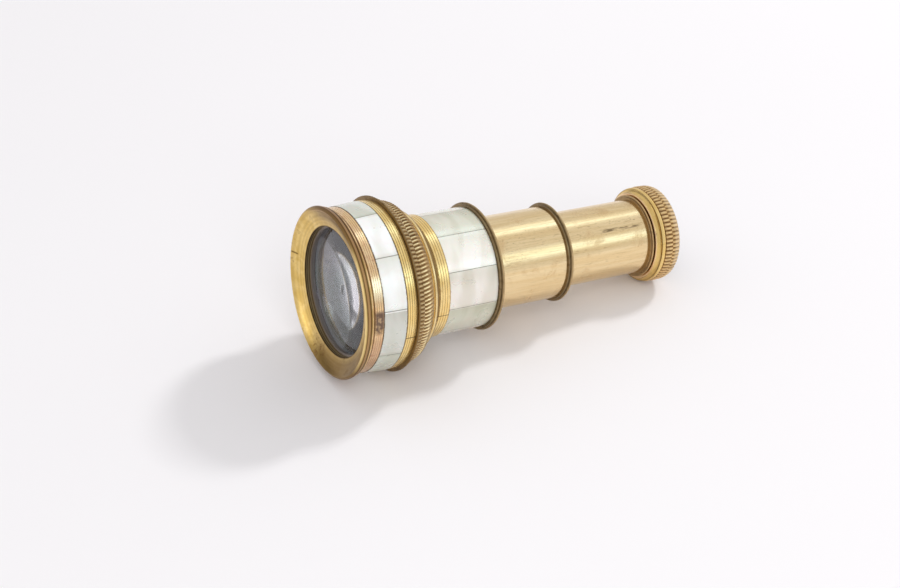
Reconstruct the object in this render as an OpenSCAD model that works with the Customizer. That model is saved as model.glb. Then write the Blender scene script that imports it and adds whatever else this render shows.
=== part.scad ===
// Pocket spyglass with three brass draws and a barrel sheathed in mother-of-pearl.
// Every piece is turned about one axis that starts at the objective lip and runs
// towards the eye. lie_down() then lays the whole on its flange and eye cap.
// All sizes are in millimetres.

/* [Objective bezel] */
// How far the rolled lip stands out from the drum's inner tube
lip_h = 1.95; // [1.2:0.05:3]
// Radius of the lip's round edge
lip_round = 0.75; // [0.5:0.05:0.9]
// Distance from the lip's crest to the front band
bezel_len = 2.8; // [2.2:0.1:4]
// Depth of the groove between the lip and the front band
groove_depth = 0.4; // [0.3:0.1:1]
// Wall of the bezel's cell round the glass
cell_wall = 1.35; // [1:0.05:2.2]
// How far the dished face falls from the crest to the opening
face_fall = 1.9; // [1:0.1:2.4]
// How much the dished face is hollowed below a straight cone
face_hollow = 0.3; // [0.1:0.05:0.5]
// Width of the shoulder that the glass rests against
seat_w = 0.45; // [0.3:0.05:0.8]
// Thickness of that shoulder
seat_t = 0.9; // [0.5:0.1:1.2]
// Distance from the crest to the back of that shoulder
seat_z = 4.4; // [3.8:0.1:5]
// How far the glass reaches out behind the shoulder
seat_lap = 1.45; // [1:0.05:1.6]

/* [Objective glass] */
// Radius of curvature of the crown's front and back surfaces
crown_curve = 72; // [60:1:120]
// Thickness of the crown lens at its edge
crown_edge = 1.2; // [0.8:0.1:1.4]
// Thickness of the flint lens at its centre
flint_centre = 0.9; // [0.6:0.1:1]
// Length of the ring that holds the glass in
retainer_len = 1.3; // [0.8:0.1:1.4]
// Width of the ring that holds the glass in
retainer_w = 1.9; // [1.2:0.1:3]

/* [Drum] */
// Outer radius of the drum's inner tube
drum_r = 20.05; // [19.8:0.05:20.4]
// Wall of the drum's inner tube
drum_wall = 1; // [0.8:0.05:1.1]
// Length of the engine-turned band before the pearl
front_band_len = 2.5; // [1.5:0.1:4]
// Thickness of the front band
front_band_t = 1; // [0.8:0.05:1.4]
// Length of the drum's pearl plates
drum_plate_len = 6.1; // [5:0.1:9]
// Thickness of the drum's pearl plates at their front edge
drum_plate_t = 1.1; // [0.8:0.05:1.2]
// How much the drum's pearl plates thicken towards the back
drum_plate_rise = 0.4; // [0:0.05:0.5]
// Number of pearl plates round the drum
drum_plates = 10; // [8:1:12]
// Turn of the drum's first pearl joint from the top
drum_plate_turn = 3; // [0:1:35]
// Length of the engine-turned band behind the pearl
rear_band_len = 2.8; // [2:0.1:4]
// Thickness of the rear band
rear_band_t = 1.45; // [1:0.05:1.6]
// How far the thin flange that the drum lies on stands out from its inner tube
flange_h = 2.45; // [2:0.05:3.5]
// Thickness of the flange
flange_t = 0.35; // [0.3:0.05:0.8]

/* [Milled ring] */
// Height of the valleys over the drum's inner tube at the flange
milled_front_h = 1.5; // [1:0.05:1.8]
// Height of the groove between the two rows over the drum's inner tube
milled_mid_h = 0.4; // [0.2:0.05:0.8]
// Length of the row of small lobes
small_row_len = 1.95; // [1.5:0.05:2.5]
// Length of the row of slanted lobes
rope_row_len = 3.4; // [2.5:0.05:4]
// Number of lobes in each row
milled_lobes = 140; // [80:1:150]
// How far the small lobes swell out
small_swell = 0.8; // [0.4:0.05:0.9]
// How far the slanted lobes swell out
rope_swell = 1.45; // [0.8:0.05:1.5]
// Share of the swell that the valleys between lobes keep
valley_share = 0.55; // [0.3:0.05:0.8]
// How many lobes the slanted row leans round over its length
rope_lean = -0.75; // [-1.25:0.25:1]
// Wall of the shoulder under the milled ring, round the neck's inner tube
shoulder_wall = 2.3; // [1.8:0.05:2.5]
// Depth of the shoulder's plug inside the drum tube
shoulder_plug = 1.9; // [1:0.1:3]

/* [Neck] */
// Height of the bead where the neck begins over the neck's inner tube
bead_h = 3.35; // [2.5:0.05:4]
// Length of the plain strip before the bead
strip_len = 1; // [0.5:0.1:2]
// Length of the bead
bead_len = 1.2; // [0.8:0.1:1.6]
// Outer radius of the neck's inner tube
neck_r = 14.7; // [14.6:0.05:15]
// Wall of the neck's inner tube
neck_wall = 0.8; // [0.6:0.05:0.9]
// Length of the engine-turned band on the neck
neck_band_len = 4.4; // [3:0.1:6]
// Thickness of the neck band
neck_band_t = 1.15; // [0.8:0.05:1.4]
// Length of the neck's pearl plates
neck_plate_len = 13.9; // [12.5:0.1:18]
// Thickness of the neck's pearl plates
neck_plate_t = 0.95; // [0.6:0.05:1.3]
// Number of pearl plates round the neck
neck_plates = 10; // [8:1:12]
// Turn of the neck's first pearl joint from the top
neck_plate_turn = 22; // [0:1:35]
// Gap between neighbouring pearl plates
plate_gap = 0.1; // [0.05:0.01:0.2]

/* [Draws] */
// Step in radius from the neck's inner tube to the first draw
draw_1_step = 2.55; // [2.1:0.05:3]
// Step in radius from the first draw to the second
draw_2_step = 2.25; // [1.6:0.05:2.5]
// Step in radius from the second draw to the eye draw
eye_draw_step = 2; // [1.5:0.05:2.3]
// Wall of the draw tubes
draw_wall = 0.5; // [0.4:0.05:0.6]
// Length of the first draw that shows when it is out
draw_1_show = 21.3; // [20:0.1:23]
// Length of the second draw that shows when it is out
draw_2_show = 25.5; // [22:0.1:26]
// Length of the eye draw inside the second draw
eye_draw_len = 24; // [20:0.1:28]
// Thickness of the collar at each tube's mouth
collar_t = 1.4; // [1:0.05:1.8]
// How far the neck's collar stands out from its tube
neck_collar_h = 2; // [1.2:0.05:2.5]
// How far the first draw's collar stands out from its tube
draw_1_collar_h = 1; // [0.6:0.05:1.5]
// How far the second draw's collar stands out from its tube
draw_2_collar_h = 1.2; // [0.6:0.05:1.5]
// Length of the slit guide bush in the neck
neck_bush_len = 4.4; // [3.5:0.1:5]
// Length of the slit guide bush in the first draw
draw_1_bush_len = 3.7; // [3:0.1:4]
// Length of the slit guide bush in the second draw
draw_2_bush_len = 5.2; // [4:0.1:6]
// Length of the stop ring on the inner end of each draw
stop_len = 2.2; // [1.5:0.1:2.4]
// Width of the slits in the guide bushes
slit_w = 0.4; // [0.2:0.05:0.8]
// Number of slits in each guide bush
bush_slits = 4; // [3:1:6]
// Width of the ring of the second draw's light baffle
baffle_w = 2.4; // [1:0.1:4]
// Thickness of the light baffle
baffle_t = 0.6; // [0.4:0.1:1]

/* [Eye cap] */
// How far the cap's fillet stands out from the second draw
fillet_h = 2.85; // [2.4:0.05:3.5]
// How far the cap's front edge stands out from the second draw
cap_front_h = 1.7; // [1.3:0.05:2.1]
// Length of the cap's hollow moulding
cove_len = 1.3; // [1:0.1:2]
// Length of the round fillet behind the moulding
fillet_len = 1.3; // [0.8:0.1:1.6]
// Length of the cap's first milled row
cap_row_1_len = 2.1; // [1.6:0.1:2.6]
// Length of the cap's second milled row
cap_row_2_len = 2.4; // [2:0.1:3]
// Number of lobes in each of the cap's rows
cap_lobes = 72; // [48:1:80]
// How far the cap's lobes swell out
cap_swell = 0.55; // [0.3:0.05:0.8]
// How far the second row falls towards the eye end
cap_taper = 0.3; // [0.1:0.05:0.6]
// Depth of the rows' grooves below the fillet
cap_groove = 0.35; // [0.2:0.05:0.6]
// Width of the rim under the milled rows
cap_rim_w = 1.1; // [1:0.05:1.6]
// How far the flat face stands behind the milled rows
cap_face_len = 0.3; // [0.2:0.1:1]
// Width of the flat face that surrounds the eye plate
cap_face_w = 1; // [0.8:0.05:1.6]
// Thickness of the eye plate at its rim
eye_plate_t = 1.5; // [1.2:0.1:1.7]
// Radius of the sight hole
sight_r = 4.6; // [3.5:0.05:4.7]
// Depth of the dish round the sight hole
dish_depth = 0.9; // [0.4:0.1:0.9]
// Width of the eye plate's flat rim round the dish
dish_rim_w = 1.2; // [0.6:0.1:2]

/* [Eye glass] */
// How far the concave eye lens reaches out past the eye draw's bore
eye_lens_lap = 0.6; // [0.3:0.05:0.9]
// Thickness of the eye lens at its edge
eye_lens_edge = 2; // [1.8:0.1:2.2]
// Radius of curvature of both faces of the eye lens
eye_lens_curve = 48; // [45:1:80]
// Thickness of the ring behind the eye lens
eye_ring_t = 0.6; // [0.4:0.05:0.8]
// Width of the ring behind the eye lens
eye_ring_w = 1.5; // [0.8:0.1:2]

/* [Fits] */
// Radial running clearance of a draw in its collar and bush
slide_gap = 0.05; // [0.02:0.01:0.08]
// Clearance between pieces that are fixed to each other
seat_gap = 0.03; // [0.02:0.01:0.05]
// Space left between a draw's stop and what it meets
stop_gap = 0.2; // [0.1:0.05:0.3]

/* [Hidden] */
$fn = 180;
BRASS = [0.83, 0.67, 0.38];
GILT = [0.85, 0.66, 0.30];
DARK_BRASS = [0.42, 0.31, 0.18];
BLACKENED = [0.12, 0.11, 0.10];
PEARL = [0.90, 0.91, 0.86];
GLASS = [0.75, 0.80, 0.82, 0.5];

// Places along the axis, from the objective lip towards the eye
front_band_z = bezel_len;
drum_plate_z = front_band_z + front_band_len;
rear_band_z = drum_plate_z + drum_plate_len;
flange_z = rear_band_z + rear_band_len;
milled_z = flange_z + flange_t;
bead_z = milled_z + small_row_len + rope_row_len;
neck_band_z = bead_z + strip_len + bead_len;
neck_plate_z = neck_band_z + neck_band_len;
neck_collar_z = neck_plate_z + neck_plate_len;
draw_1_z = neck_collar_z + collar_t;
draw_1_collar_z = draw_1_z + draw_1_show;
draw_2_z = draw_1_collar_z + collar_t;
draw_2_collar_z = draw_2_z + draw_2_show;
draw_2_collar_t = collar_t * 2 / 3;
cap_z = draw_2_collar_z + draw_2_collar_t + stop_gap;
fillet_z = cap_z + cove_len;
cap_row_1_z = fillet_z + fillet_len;
cap_row_2_z = cap_row_1_z + cap_row_1_len;
cap_rows_end_z = cap_row_2_z + cap_row_2_len;
cap_face_z = cap_rows_end_z + cap_face_len;

// Radii of the barrel
lip_r = drum_r + lip_h;
flange_r = drum_r + flange_h;
shoulder_r = neck_r + shoulder_wall;
bead_r = neck_r + bead_h;
strip_r = bead_r - 0.15;
groove_r = lip_r - groove_depth;
band_chamfer = 0.06;

// Objective glass: the crown's front bears on the inner edge of the shoulder
cell_r = drum_r - drum_wall - seat_gap;
glass_r = cell_r - cell_wall - seat_gap;
opening_r = glass_r - seat_lap + seat_w;
function crown_sag(r) = crown_curve - sqrt(crown_curve * crown_curve - r * r);
crown_front_z = seat_z - crown_sag(opening_r - seat_w);
crown_edge_z = crown_front_z + crown_sag(glass_r) + crown_edge;
crown_back_z = crown_edge_z + crown_sag(glass_r);
flint_back_z = crown_back_z + flint_centre;
retainer_z = flint_back_z + seat_gap;
cell_end_z = retainer_z + retainer_len;

// Draws: where each inner end lies when the spyglass is out and when it is shut
draw_1_r = neck_r - draw_1_step;
draw_2_r = draw_1_r - draw_2_step;
eye_draw_r = draw_2_r - eye_draw_step;
neck_bore = neck_r - neck_wall;
draw_1_bore = draw_1_r - draw_wall;
draw_2_bore = draw_2_r - draw_wall;
eye_bore = eye_draw_r - draw_wall;
neck_bush_z = neck_collar_z - neck_bush_len;
draw_1_bush_z = draw_1_collar_z - draw_1_bush_len;
draw_2_bush_z = draw_2_collar_z - draw_2_bush_len;
draw_1_front_z = neck_bush_z - stop_gap - stop_len;
draw_2_front_z = draw_1_bush_z - stop_gap - stop_len;
eye_draw_front_z = cap_z - eye_draw_len;
eye_tube_end_z = cap_z + cove_len + fillet_len;

// Eye end
fillet_r = draw_2_r + fillet_h;
cap_groove_r = fillet_r - cap_groove;
cap_face_r = cap_groove_r - cap_rim_w;
eye_plate_r = cap_face_r - cap_face_w;
eye_lens_r = eye_bore + eye_lens_lap;
eye_lens_z = eye_tube_end_z + eye_ring_t;
eye_ring_z = eye_lens_z + eye_lens_edge;
eye_plate_z = cap_face_z - eye_plate_t;

// Corners of the milled rows as radius and height
milled_front = [drum_r + milled_front_h, milled_z];
milled_mid = [drum_r + milled_mid_h, milled_z + small_row_len];
milled_back = [strip_r + slide_gap, bead_z - seat_gap];
cap_row_front = [cap_groove_r, cap_row_1_z + seat_gap];
cap_row_mid = [cap_groove_r, cap_row_2_z];
cap_row_back = [cap_groove_r - cap_taper, cap_rows_end_z];
row_steps = 5;
row_fullness = 0.6;

// The pose at rest: the flange and the cap's second milled row touch the floor
rim_chamfer = 0.08;
touch_flange_z = milled_z - seat_gap - rim_chamfer;
cap_crest = swollen(cap_row_mid, cap_row_back, cap_swell);
tilt = atan(min([for (p = cap_crest) (flange_r - p[0]) / (p[1] - touch_flange_z)]));
axis_height = flange_r * cos(tilt) + touch_flange_z * sin(tilt);
crest_r = lip_r - lip_round;
rest_x = (crest_r * sin(tilt) - cap_face_z * cos(tilt) - cap_face_r * sin(tilt)) / 2;

// Points on an arc about centre c, from angle a to angle b
function arc(c, r, a, b, steps = 8) =
    [for (i = [0:steps]) let (t = a + (b - a) * i / steps) c + r * [cos(t), sin(t)]];

// Points from p to q, bowed to the left of the way by the given sag
function bow(p, q, sag, steps = 8) =
    let (side = [p[1] - q[1], q[0] - p[0]] / norm(q - p))
    [for (i = [0:steps]) let (t = i / steps) p + (q - p) * t + 4 * sag * t * (1 - t) * side];

// Corners of a section from radius a to b and from z0 to z1, outer edges broken by c
function section(a, b, z0, z1, c = 0) =
    c == 0 ? [[a, z0], [b, z0], [b, z1], [a, z1]]
           : [[a, z0], [b - c, z0], [b, z0 + c], [b, z1 - c], [b - c, z1], [a, z1]];

// Lays the upright model down; the local x axis becomes the upward side
module lie_down() {
    translate([rest_x, 0, axis_height])
        rotate([0, 90 + tilt, 0])
            rotate([0, 0, 180])
                children();
}

// A solid turned from a section given as points of radius and height
module turned(points) {
    rotate_extrude()
        polygon(points);
}

// One of count plates laid round a tube, in order from the first joint. Its thickness
// goes from t at the front to t + rise at the back.
module plate(i, count, turn, r, t, rise, z, len) {
    joint_angle = plate_gap / (r + t) * 180 / PI;
    front_z = z + seat_gap;
    back_z = z + len - seat_gap;
    rotate([0, 0, turn + (i - 1) * 360 / count + joint_angle / 2])
        rotate_extrude(angle = 360 / count - joint_angle)
            polygon([[r + seat_gap, front_z], [r + t, front_z],
                     [r + t + rise, back_z], [r + seat_gap, back_z]]);
}

// Points from p to q along a full, blunt-ended swelling, closer together at its ends
function swollen(p, q, swell) =
    let (side = [q[1] - p[1], p[0] - q[0]] / norm(q - p))
    [for (i = [0:row_steps])
        let (t = (1 - cos(180 * i / row_steps)) / 2)
        p + (q - p) * t + swell * pow(4 * t * (1 - t), row_fullness) * side];

// One row of lobes between two grooves, as stations of [valley, peak, turn] where
// valley and peak are points of radius and height
function lobe_row(p, q, swell, turn_p, turn_q) =
    let (peaks = swollen(p, q, swell), valleys = swollen(p, q, swell * valley_share))
    [for (i = [0:row_steps]) [valleys[i], peaks[i], turn_p + (turn_q - turn_p) * i / row_steps]];

// All of a list but its first item
function rest_of(list) = [for (i = [1:len(list) - 1]) list[i]];

// A ring of lobes, whose stations each alternate between peak and valley
module lobed_ring(stations, bore, lobes) {
    steps = 2 * lobes;
    first = stations[0];
    last = stations[len(stations) - 1];
    back = [bore, last[0][1]];
    front = [bore, first[0][1]];
    rings = concat(stations, [[back, back, last[2]], [front, front, first[2]]]);
    count = len(rings);
    points = [
        for (s = rings, i = [0:steps - 1])
            let (a = 180 + i * 360 / steps + s[2], p = i % 2 == 0 ? s[1] : s[0])
            [p[0] * cos(a), p[0] * sin(a), p[1]]
    ];
    faces = [
        for (k = [0:count - 1], i = [0:steps - 1])
            let (n = (k + 1) % count, j = (i + 1) % steps)
            let (p = k * steps + i, q = k * steps + j, u = n * steps + i, v = n * steps + j)
            each [[p, u, v], [p, v, q]]
    ];
    polyhedron(points = points, faces = faces);
}

// A guide bush that fills the space between a tube's bore and the draw inside it,
// slit from its inner end so that it springs on the draw
module guide_bush(inner, outer, z, len) {
    slit_len = 0.7 * len;
    past = 1;
    difference() {
        turned(section(inner, outer, z, z + len));
        for (i = [0:bush_slits - 1])
            rotate([0, 0, (i + 0.5) * 360 / bush_slits])
                translate([inner - past, -slit_w / 2, z - past])
                    cube([outer - inner + 2 * past, slit_w, slit_len + past]);
    }
}

// A collar at a tube's mouth: a low step, then a rounded bead
module mouth_collar(inner, outer, z, t) {
    step_h = 0.45;
    bead = 0.3 * t;
    turned(concat(
        [[inner, z], [outer - step_h, z], [outer - step_h, z + t - 2 * bead]],
        arc([outer - bead, z + t - bead], bead, -60, 90),
        [[inner, z + t]]
    ));
}

module front_bezel() {
    bead_c = [crest_r, lip_round];
    lens_bore = glass_r + seat_gap;
    groove_floor = 0.6;
    color(GILT)
        turned(concat(
            bow([opening_r, face_fall], [crest_r, 0], face_hollow),
            arc(bead_c, lip_round, -80, 60),
            [[groove_r, bezel_len * 3 / 4],
             [groove_r - groove_floor, bezel_len - seat_gap],
             [cell_r, bezel_len - seat_gap],
             [cell_r, cell_end_z],
             [lens_bore, cell_end_z],
             [lens_bore, seat_z - seat_gap],
             [opening_r - seat_w, seat_z - seat_gap],
             [opening_r - seat_w, seat_z - seat_t],
             [opening_r, seat_z - seat_t]]
        ));
}

module crown_lens() {
    color(GLASS)
        intersection() {
            translate([0, 0, crown_front_z])
                cylinder(r = glass_r, h = crown_back_z - crown_front_z);
            translate([0, 0, crown_front_z + crown_curve])
                sphere(r = crown_curve);
            translate([0, 0, crown_back_z - crown_curve])
                sphere(r = crown_curve);
        }
}

module flint_lens() {
    color(GLASS)
        difference() {
            translate([0, 0, crown_edge_z + seat_gap])
                cylinder(r = glass_r, h = flint_back_z - crown_edge_z - seat_gap);
            translate([0, 0, crown_back_z - crown_curve])
                sphere(r = crown_curve + seat_gap);
        }
}

module objective_retainer() {
    color(BLACKENED)
        turned(section(glass_r - retainer_w, glass_r, retainer_z, retainer_z + retainer_len));
}

module front_band() {
    color(GILT)
        turned(section(drum_r + seat_gap, drum_r + front_band_t, front_band_z, drum_plate_z, band_chamfer));
}

module drum_tube() {
    color(BRASS)
        turned(section(drum_r - drum_wall, drum_r, front_band_z, flange_z - seat_gap));
}

module drum_pearl(i) {
    color(PEARL)
        plate(i, drum_plates, drum_plate_turn, drum_r, drum_plate_t, drum_plate_rise,
              drum_plate_z, drum_plate_len);
}

module rear_band() {
    color(GILT)
        turned(section(drum_r + seat_gap, drum_r + rear_band_t, rear_band_z, flange_z - seat_gap,
                       band_chamfer));
}

module drum_flange() {
    color(DARK_BRASS)
        turned(section(shoulder_r + seat_gap, flange_r, flange_z, milled_z - seat_gap, rim_chamfer));
}

module drum_shoulder() {
    bore = neck_r + seat_gap;
    color(BRASS)
        turned([
            [bore, flange_z - shoulder_plug],
            [cell_r, flange_z - shoulder_plug],
            [cell_r, flange_z - seat_gap],
            [shoulder_r, flange_z - seat_gap],
            [shoulder_r, bead_z - seat_gap],
            [bore, bead_z - seat_gap]
        ]);
}

module milled_ring() {
    turn = rope_lean * 360 / milled_lobes;
    color(DARK_BRASS)
        lobed_ring(
            concat(lobe_row(milled_front, milled_mid, small_swell, 0, 0),
                   rest_of(lobe_row(milled_mid, milled_back, rope_swell, 0, turn))),
            shoulder_r + seat_gap, milled_lobes
        );
}

module bead_ring() {
    round_r = bead_len / 2;
    strip_end_z = bead_z + strip_len - 0.1;
    color(GILT)
        turned(concat(
            [[neck_r + seat_gap, bead_z], [strip_r, bead_z], [strip_r, strip_end_z]],
            arc([bead_r - round_r, bead_z + strip_len + round_r], round_r, -70, 90),
            [[neck_r + seat_gap, bead_z + strip_len + bead_len]]
        ));
}

module neck_tube() {
    color(BRASS)
        turned(section(neck_bore, neck_r, flange_z - shoulder_plug, neck_collar_z - seat_gap));
}

module neck_band() {
    color(GILT)
        turned(section(neck_r + seat_gap, neck_r + neck_band_t, neck_band_z + seat_gap, neck_plate_z,
                       band_chamfer));
}

module neck_pearl(i) {
    color(PEARL)
        plate(i, neck_plates, neck_plate_turn, neck_r, neck_plate_t, 0, neck_plate_z, neck_plate_len);
}

module neck_collar() {
    color(DARK_BRASS)
        mouth_collar(draw_1_r + slide_gap, neck_r + neck_collar_h, neck_collar_z, collar_t);
}

module neck_bush() {
    color(BRASS)
        guide_bush(draw_1_r + slide_gap, neck_bore - seat_gap, neck_bush_z, neck_bush_len - seat_gap);
}

module draw_1_tube() {
    color(BRASS)
        turned(section(draw_1_bore, draw_1_r, draw_1_front_z, draw_1_collar_z - seat_gap));
}

module draw_1_stop() {
    color(BRASS)
        turned(section(draw_1_r + seat_gap, neck_bore - slide_gap, draw_1_front_z,
                       draw_1_front_z + stop_len));
}

module draw_1_collar() {
    color(DARK_BRASS)
        mouth_collar(draw_2_r + slide_gap, draw_1_r + draw_1_collar_h, draw_1_collar_z, collar_t);
}

module draw_1_bush() {
    color(BRASS)
        guide_bush(draw_2_r + slide_gap, draw_1_bore - seat_gap, draw_1_bush_z, draw_1_bush_len - seat_gap);
}

module draw_2_tube() {
    color(BRASS)
        turned(section(draw_2_bore, draw_2_r, draw_2_front_z, draw_2_collar_z - seat_gap));
}

module draw_2_stop() {
    color(BRASS)
        turned(section(draw_2_r + seat_gap, draw_1_bore - slide_gap, draw_2_front_z,
                       draw_2_front_z + stop_len));
}

module draw_2_collar() {
    color(DARK_BRASS)
        mouth_collar(eye_draw_r + slide_gap, draw_2_r + draw_2_collar_h, draw_2_collar_z, draw_2_collar_t);
}

module draw_2_bush() {
    color(BRASS)
        guide_bush(eye_draw_r + slide_gap, draw_2_bore - seat_gap, draw_2_bush_z, draw_2_bush_len - seat_gap);
}

module light_baffle() {
    color(BLACKENED)
        turned(section(draw_2_bore - baffle_w, draw_2_bore - seat_gap, draw_2_front_z,
                       draw_2_front_z + baffle_t));
}

module eye_tube() {
    color(BRASS)
        turned(section(eye_bore, eye_draw_r, eye_draw_front_z, eye_tube_end_z - seat_gap));
}

module eye_stop() {
    color(BRASS)
        turned(section(eye_draw_r + seat_gap, draw_2_bore - slide_gap, eye_draw_front_z,
                       eye_draw_front_z + stop_len));
}

module eye_cap() {
    tube_seat = eye_draw_r + seat_gap;
    lens_seat = eye_lens_r + seat_gap;
    cap_front_r = draw_2_r + cap_front_h;
    fillet_round = fillet_len / 2;
    edge = 0.2;
    quirk = 0.45;
    cove_sag = 0.25;
    color(GILT)
        turned(concat(
            [[tube_seat, cap_z], [cap_front_r - edge, cap_z], [cap_front_r, cap_z + edge]],
            bow([cap_front_r, cap_z + 1.5 * edge], [fillet_r - edge, fillet_z - edge / 2], cove_sag),
            [[fillet_r - quirk, fillet_z]],
            arc([fillet_r - fillet_round, fillet_z + fillet_round], fillet_round, -60, 90),
            [[cap_face_r, cap_row_1_z],
             [cap_face_r, cap_face_z - edge / 2],
             [cap_face_r - edge / 2, cap_face_z],
             [eye_plate_r + seat_gap, cap_face_z],
             [eye_plate_r + seat_gap, eye_plate_z - seat_gap],
             [lens_seat, eye_plate_z - seat_gap],
             [lens_seat, eye_lens_z - seat_gap],
             [eye_bore, eye_lens_z - seat_gap],
             [eye_bore, eye_tube_end_z],
             [tube_seat, eye_tube_end_z]]
        ));
}

module cap_milled_rim() {
    color(GILT)
        lobed_ring(
            concat(lobe_row(cap_row_front, cap_row_mid, cap_swell, 0, 0),
                   rest_of(lobe_row(cap_row_mid, cap_row_back, cap_swell, 0, 0))),
            cap_face_r + seat_gap, cap_lobes
        );
}

module eye_lens() {
    sag = eye_lens_curve - sqrt(eye_lens_curve * eye_lens_curve - eye_lens_r * eye_lens_r);
    color(GLASS)
        difference() {
            translate([0, 0, eye_lens_z])
                cylinder(r = eye_lens_r, h = eye_lens_edge);
            translate([0, 0, eye_lens_z + sag - eye_lens_curve])
                sphere(r = eye_lens_curve);
            translate([0, 0, eye_lens_z + eye_lens_edge - sag + eye_lens_curve])
                sphere(r = eye_lens_curve);
        }
}

module eye_lens_ring() {
    color(BLACKENED)
        turned(section(eye_lens_r - eye_ring_w, eye_lens_r, eye_ring_z + seat_gap, eye_ring_z + eye_ring_t));
}

module eye_plate() {
    color(BLACKENED)
        turned([
            [sight_r, eye_plate_z],
            [eye_plate_r, eye_plate_z],
            [eye_plate_r, cap_face_z],
            [eye_plate_r - dish_rim_w, cap_face_z],
            [sight_r, cap_face_z - dish_depth]
        ]);
}

lie_down() {
    front_bezel();
    crown_lens();
    flint_lens();
    objective_retainer();
    front_band();
    drum_tube();
    for (i = [1:drum_plates])
        drum_pearl(i);
    rear_band();
    drum_flange();
    drum_shoulder();
    milled_ring();
    bead_ring();
    neck_tube();
    neck_band();
    for (i = [1:neck_plates])
        neck_pearl(i);
    neck_collar();
    neck_bush();
    draw_1_tube();
    draw_1_stop();
    draw_1_collar();
    draw_1_bush();
    draw_2_tube();
    draw_2_stop();
    draw_2_collar();
    draw_2_bush();
    light_baffle();
    eye_tube();
    eye_stop();
    eye_cap();
    cap_milled_rim();
    eye_lens();
    eye_lens_ring();
    eye_plate();
}
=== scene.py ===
import math
from collections import namedtuple
import bmesh
import bpy
from mathutils import Matrix, Vector


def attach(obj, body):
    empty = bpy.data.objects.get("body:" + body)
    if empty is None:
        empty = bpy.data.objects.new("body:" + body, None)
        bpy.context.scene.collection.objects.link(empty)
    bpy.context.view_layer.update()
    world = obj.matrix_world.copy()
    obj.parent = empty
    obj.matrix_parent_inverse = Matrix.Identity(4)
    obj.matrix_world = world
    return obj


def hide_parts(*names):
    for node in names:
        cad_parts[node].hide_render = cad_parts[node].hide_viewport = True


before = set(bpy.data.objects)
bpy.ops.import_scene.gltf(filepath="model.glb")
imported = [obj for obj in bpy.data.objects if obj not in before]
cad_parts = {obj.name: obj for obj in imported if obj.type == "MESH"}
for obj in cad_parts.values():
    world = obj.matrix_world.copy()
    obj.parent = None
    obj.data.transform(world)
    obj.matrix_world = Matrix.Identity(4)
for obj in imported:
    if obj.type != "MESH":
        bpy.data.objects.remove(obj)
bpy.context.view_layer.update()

# The spyglass is turned about one axis that starts at the lip and dips towards the eye. Sizes of
# pieces are in millimetres, out from that axis and along it. Turns are in degrees from the top,
# positive on the right as seen from the lip.
MM = 0.001
DIP = math.radians(6.71601)
LIP_CENTRE = Vector((-0.0483468, 0.0, 0.0240343))
UPWARD = Vector((math.sin(DIP), 0.0, math.cos(DIP)))
SIDEWAYS = Vector((0.0, -1.0, 0.0))
EYEWARD = Vector((math.cos(DIP), 0.0, -math.sin(DIP)))
LAID_DOWN = Matrix.Translation(LIP_CENTRE) @ Matrix((UPWARD, SIDEWAYS, EYEWARD)).transposed().to_4x4()

# The pearl, from its front to its back.
DRUM_PEARL = (5.3, 11.4)
NECK_PEARL = (26.5, 40.4)

# The engine-turned bands.
Band = namedtuple("Band", "bore outer front back ribs")
FRONT_BAND = Band(20.08, 21.05, 2.8, 5.3, 4)
REAR_BAND = Band(20.08, 21.5, 11.4, 14.17, 4)
NECK_BAND = Band(14.73, 15.85, 22.13, 26.5, 6)
BAND_EDGE = 0.12
BAND_CHAMFER = 0.05
HALF_GROOVE = 0.07
GROOVE_DEPTH = 0.05
BAND_FACETS = 256

# The milled rings. A row of lobes swells between two points (out, along). It leans and is shifted by
# a share of a lobe, and its valleys fill up towards the eye by the share fill.
Row = namedtuple("Row", "front back swell lean shift fill", defaults=(0.0, 0.0, 0.0))
RING_ROWS = [Row((21.55, 14.55), (20.45, 16.5), 0.8),
             Row((20.45, 16.5), (17.95, 19.87), 1.45, lean=-0.75, fill=0.75)]
CAP_ROWS = [Row((12.4, 93.76), (12.55, 95.83), 0.4),
            Row((12.55, 95.83), (12.1, 98.23), 0.44, shift=0.5)]
RING_BORE, CAP_BORE = 17.05, 11.33
RING_LOBES, CAP_LOBES = 128, 72
ROW_STEPS = 6


# Helpers that build shader nodes.


def add(tree, kind, inputs=None, **settings):
    """A shader node with its settings, and its inputs set or linked."""
    made = tree.nodes.new(kind)
    for key, value in settings.items():
        setattr(made, key, value)
    for key, value in (inputs or {}).items():
        if isinstance(value, bpy.types.NodeSocket):
            tree.links.new(value, made.inputs[key])
        else:
            made.inputs[key].default_value = value
    return made


def calc(tree, operation, a, b=0.0, c=0.0):
    return add(tree, "ShaderNodeMath", {0: a, 1: b, 2: c}, operation=operation).outputs[0]


def vector_calc(tree, operation, a, b=(0, 0, 0)):
    made = add(tree, "ShaderNodeVectorMath", {0: a, 1: b}, operation=operation)
    return made.outputs["Value" if operation in ("DOT_PRODUCT", "LENGTH") else "Vector"]


def product(tree, *factors):
    """Masks and numbers multiplied together."""
    result = factors[0]
    for factor in factors[1:]:
        result = calc(tree, "MULTIPLY", result, factor)
    return result


def mixed(tree, share, a, b, blend="MIX"):
    return add(tree, "ShaderNodeMix", {0: share, 6: a, 7: b}, data_type="RGBA", blend_type=blend).outputs[2]


def tinted(tree, colour, tint, *shares):
    """A colour with a tint mixed into it by the product of the shares."""
    return mixed(tree, product(tree, *shares), colour, tint)


def remap(tree, value, low, high, new_low=0.0, new_high=1.0, smooth=True):
    """Moves a value from one span to another, and holds it at the new span's ends."""
    kind = "SMOOTHSTEP" if smooth else "LINEAR"
    return add(tree, "ShaderNodeMapRange", {0: value, 1: low, 2: high, 3: new_low, 4: new_high},
               interpolation_type=kind).outputs[0]


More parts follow.
